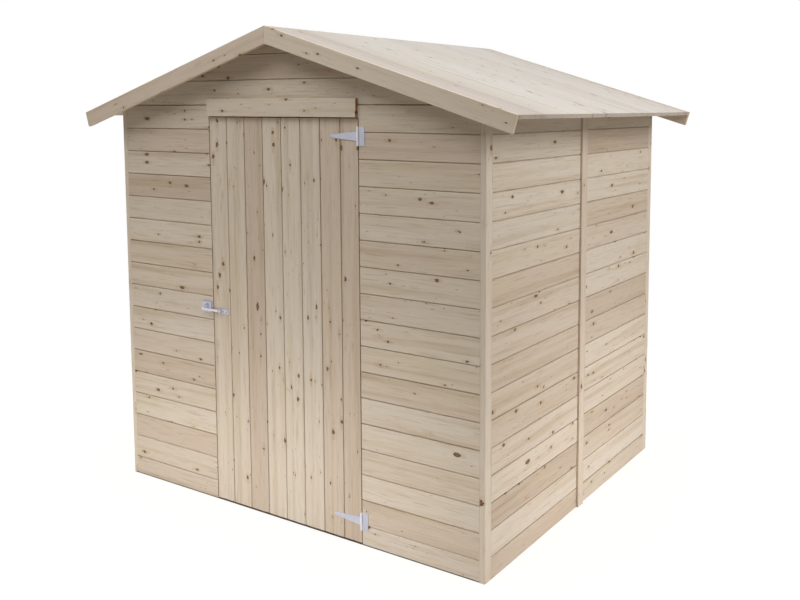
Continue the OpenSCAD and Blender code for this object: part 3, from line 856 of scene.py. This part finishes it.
class ShedFixings(bpy.types.Operator):
    """Drives the nails and screws"""
    bl_idname = "shed.fixings"
    bl_label = "Nails and Screws"

    def execute(self, context):
        sizes, steel = context.scene.shed_boards, context.scene.shed_steel
        lot = random.Random(sizes.seed)
        course, joint = sizes.wall_course, sizes.wall_joint
        covers = [corners(name) for name in TRIM + HINGES + HASP]

        def nail(spots, point, facing_way, clear=4 * MM):
            """Adds a spot, a little out of line, unless a fitting or a cover lies over it."""
            point = point + Vector([lot.uniform(-2, 2) * MM * (abs(part) < 0.2)
                                    for part in facing_way])
            if not any(all(low[i] - clear < point[i] < high[i] + clear for i in range(3))
                       for low, high in covers):
                spots.append((point, facing_way))

        def in_front(x, y, z):
            """A spot that faces forwards."""
            return Vector((x, y, z)), -BACK

        walls, roof, trim, door = [], [], [], []
        for end, wall, axis, side in (
                ("front", "_wall_right", 1, -1), ("rear", "_wall_right", 1, 1),
                ("left", "_wall_front", 0, -1), ("right", "_wall_front", 0, 1)):
            for low, high in solids(end + "_studs"):
                for row in range(int(high.z / course) + 1):
                    for share in reversed(NAIL_SHARES):
                        point = (low + high) / 2
                        point.z = joint + (row - share) * course
                        point[axis] = corners(end + wall)[side > 0][axis]
                        if low.z + 10 * MM < point.z < high.z - 30 * MM:
                            nail(walls, point, (SIDE, BACK)[axis] * side)

        # The roof is nailed to its purlins, the ridge beam and the tops of the side walls.
        low, high = corners("roof_right")
        top, edge = right_slope()
        fall = (edge - top).normalized()
        lines = [(a.x + b.x) / 2 for a, b in solids("roof_purlins") if a.x > 0]
        lines += [14 * MM, (corners("right_studs")[0].x + corners("right_studs")[1].x) / 2]
        rows = int((high.y - low.y) / course) + 1
        depths = [low.y + (row + share) * course for row in range(rows) for share in NAIL_SHARES]
        for side in (-1, 1):
            for x in lines:
                for y in depths:
                    if y < high.y - 10 * MM:
                        nail(roof, Vector((side * x, y, top.z + fall.z / fall.x * x)),
                             Vector((-fall.z * side, 0, fall.x)))

        low, high = corners("door_header")
        quarters, from_end = (0.25, 0.75), 45 * MM
        for x in (low.x + from_end, low.x / 3, high.x / 3, high.x - from_end):
            for share in quarters:
                trim.append(in_front(x + lot.uniform(-3, 3) * MM, low.y,
                                     low.z + share * (high.z - low.z)))
        for name in UPRIGHTS:
            low, high = corners(name)
            axis = 1 if name == "rear_batten" else 0
            side = 1 if name == "rear_batten" else math.copysign(1, low.x + high.x)
            for number in range(6):
                point = (low + high) / 2
                point[axis] = (high if side > 0 else low)[axis]
                point[1 - axis] += (number % 2 - 0.5) * 0.5 * (high - low)[1 - axis]
                point.z = (160 + number * 300) * MM
                trim.append((point, (SIDE, BACK)[axis] * side))

        leaf = corners("door_boards")
        for low, high in solids("door_ledges"):
            board = leaf[1].x - sizes.door_first
            seams = [leaf[1].x] + [board - i * sizes.door_board for i in range(8)]
            for right, left in zip(seams, seams[1:] + [leaf[0].x]):
                for share in quarters:
                    for z in (low.z * 0.75 + high.z * 0.25, low.z * 0.25 + high.z * 0.75):
                        x = max(left, leaf[0].x) + share * (right - max(left, leaf[0].x))
                        if low.x < x < high.x and right - left > 40 * MM:
                            nail(door, *in_front(x, leaf[0].y, z))

        on_shed, on_door = [], []
        face = leaf[0].y - steel.plate
        for name in ("bottom", "top"):
            low, high = corners("hinge_strap_" + name)
            pin = corners("hinge_flap_" + name)[0].x + PIN_IN
            middle = (low.z + high.z) / 2
            on_door += [in_front(pin - x * MM, face, middle) for x in (35, 80, 125)]
            on_shed += [in_front(pin + (22 - abs(z) / 4) * MM, face, middle + z * MM)
                        for z in (-27, 0, 27)]
        low, high = corners("hasp_plate")
        on_hasp = [in_front(high.x - x * MM, face, (low.z + high.z) / 2) for x in (13, 36)]
        low, high = corners("hasp_staple")
        inset, staple_face = 6 * MM, leaf[0].y - 2 * MM
        on_shed += [in_front(x, staple_face, z) for x in (low.x + inset, high.x - inset)
                    for z in (low.z + inset, high.z - inset)]

        zinc, screw = zinc_plate(), steel.screw
        nail_head = turned_head([(steel.nail, -1.5 * MM), (steel.nail, 0.1 * MM),
                                 (0.7 * steel.nail, 0.25 * MM)])
        screw_head = turned_head([(0.6 * screw, -1.6 * MM), (screw, 0), (0.9 * screw, 0.3 * MM)],
                                 0.62 * screw)
        for seed, name, spots, body, head, material in (
                (0, "wall_nails", walls, "shed", nail_head, zinc),
                (1, "roof_nails", roof, "shed", nail_head, zinc),
                (2, "trim_nails", trim, "shed", nail_head, zinc),
                (3, "door_nails", door, "door", nail_head, zinc),
                (11, "fitting_screws_fixed", on_shed, "shed", screw_head, zinc),
                (12, "fitting_screws_door", on_door, "door", screw_head, zinc),
                (13, "hasp_screws", on_hasp, "door", screw_head, painted_shade_screw())):
            fixings(name, spots, head, body, seed, material)
        return {"FINISHED"}


class ShedStage(bpy.types.Operator):
    """Sets the floor, the soft light and the camera"""
    bl_idname = "shed.stage"
    bl_label = "Stage"

    def execute(self, context):
        studio = context.scene.shed_studio
        white, far = (1, 1, 1, 1), 30.0
        mesh = bpy.data.meshes.new("floor")
        mesh.from_pydata([(-far, -far, 0), (far, -far, 0), (far, far, 0), (-far, far, 0)], [],
                         [(0, 1, 2, 3)])
        mesh.materials.append(studio_floor(studio.floor_colour, white))
        new_object("studio_floor", mesh)

        world = bpy.data.worlds.new("Studio")
        context.scene.world = world
        world.use_nodes = True
        world.node_tree.nodes.clear()
        add = partial(node, world.node_tree)
        seen = by_eye(add)
        strength = add("MapRange", [seen, 0, 1, studio.sky, 1])
        tint = add("Mix", {"Factor": seen, "A": studio.fill_colour, "B": white}, data_type="RGBA")
        add("OutputWorld", [add("Background", {"Color": tint, "Strength": strength})])

        # name, place, what it points at, width, height, watts
        lamps = (
            ("over_front_lamp", (-0.3, -3.6, 5.2), (-0.2, -1.6, 0), 4.0, 2.2, 104),
            ("steep_front_lamp", (-0.2, -2.7, 6.0), (-0.2, -1.2, 0.4), 4.0, 1.6, 66),
            ("low_front_lamp", (-0.2, -3.4, 0.4), (-0.2, -0.87, 0.2), 3.2, 0.6, 7.2),
            ("front_floor_lamp", (-0.2, -1.75, 0.12), (-0.2, -0.87, 0.12), 2.6, 0.2, 8.6),
            ("right_lamp", (4.5, 0, 4.0), (1.05, 0, 1.0), 3.5, 2.5, 146),
            ("right_floor_lamp", (2.1, 0.1, 0.12), (1.05, 0.1, 0.12), 2.2, 0.2, 10.2),
            ("over_rear_lamp", (0, 2.6, 5.2), (0, 1.4, 0), 4.0, 2.2, 60),
            ("rear_lamp", (0, 4.6, 2.0), (0, 0.87, 1.0), 3.5, 2.0, 85),
            ("rear_low_lamp", (0, 3.4, 0.3), (0, 0.87, 0.3), 3.6, 0.5, 25),
            ("left_lamp", (-4.5, 0, 4.0), (-1.05, 0, 1.0), 3.5, 2.5, 120),
            ("left_low_lamp", (-3.6, 0, 0.3), (-1.05, 0, 0.3), 3.2, 0.5, 25),
        )
        for name, at, aim, width, height, watts in lamps:
            data = bpy.data.lights.new(name, "AREA")
            data.shape = "RECTANGLE"
            data.size, data.size_y, data.energy = width, height, watts
            lamp = new_object(name, data)
            lamp.location = at
            lamp.rotation_euler = (Vector(aim) - Vector(at)).to_track_quat("-Z", "Y").to_euler()
            lamp.visible_camera = lamp.visible_glossy = False

        # The camera stands at eye height, to the right of the door.
        camera = bpy.data.cameras.new("camera")
        camera.sensor_width = 36
        camera.lens = 41.334
        camera.shift_x, camera.shift_y = -0.067, -0.1301
        eye = new_object("camera", camera)
        eye.location = (2.811, -3.8444, 1.8763)
        eye.rotation_euler = (math.radians(90 - 5.544), 0, math.radians(32.646))
        context.scene.camera = eye
        context.scene.view_settings.view_transform = "Standard"
        return {"FINISHED"}


class ShedPanel(bpy.types.Panel):
    """Lists the pieces of the shed"""
    bl_idname = "VIEW3D_PT_shed"
    bl_label = "Garden Shed"
    bl_space_type = "VIEW_3D"
    bl_region_type = "UI"
    bl_category = "Shed"

    def draw(self, context):
        for group in GROUPS:
            settings = getattr(context.scene, group)
            for name in settings.__annotations__:
                self.layout.prop(settings, name)
        for operator in OPERATORS:
            self.layout.operator(operator.bl_idname)


GROUPS = {"shed_boards": ShedBoards, "shed_timber": ShedTimber, "shed_steel": ShedSteel,
          "shed_studio": ShedStudio}
OPERATORS = (ShedWallBoards, ShedRoofBoards, ShedDoorLeaf, ShedTrim, ShedFraming, ShedFittings,
             ShedFixings, ShedStage)


def register():
    for kind in (*GROUPS.values(), *OPERATORS, ShedPanel):
        bpy.utils.register_class(kind)
    for name, kind in GROUPS.items():
        setattr(bpy.types.Scene, name, bpy.props.PointerProperty(type=kind))


def unregister():
    for name in GROUPS:
        delattr(bpy.types.Scene, name)
    for kind in reversed((*GROUPS.values(), *OPERATORS, ShedPanel)):
        bpy.utils.unregister_class(kind)


def main():
    """Builds the shed and its stage."""
    register()
    for operator in OPERATORS:
        getattr(bpy.ops.shed, operator.bl_idname.removeprefix("shed."))()


if __name__ == "__main__":
    main()
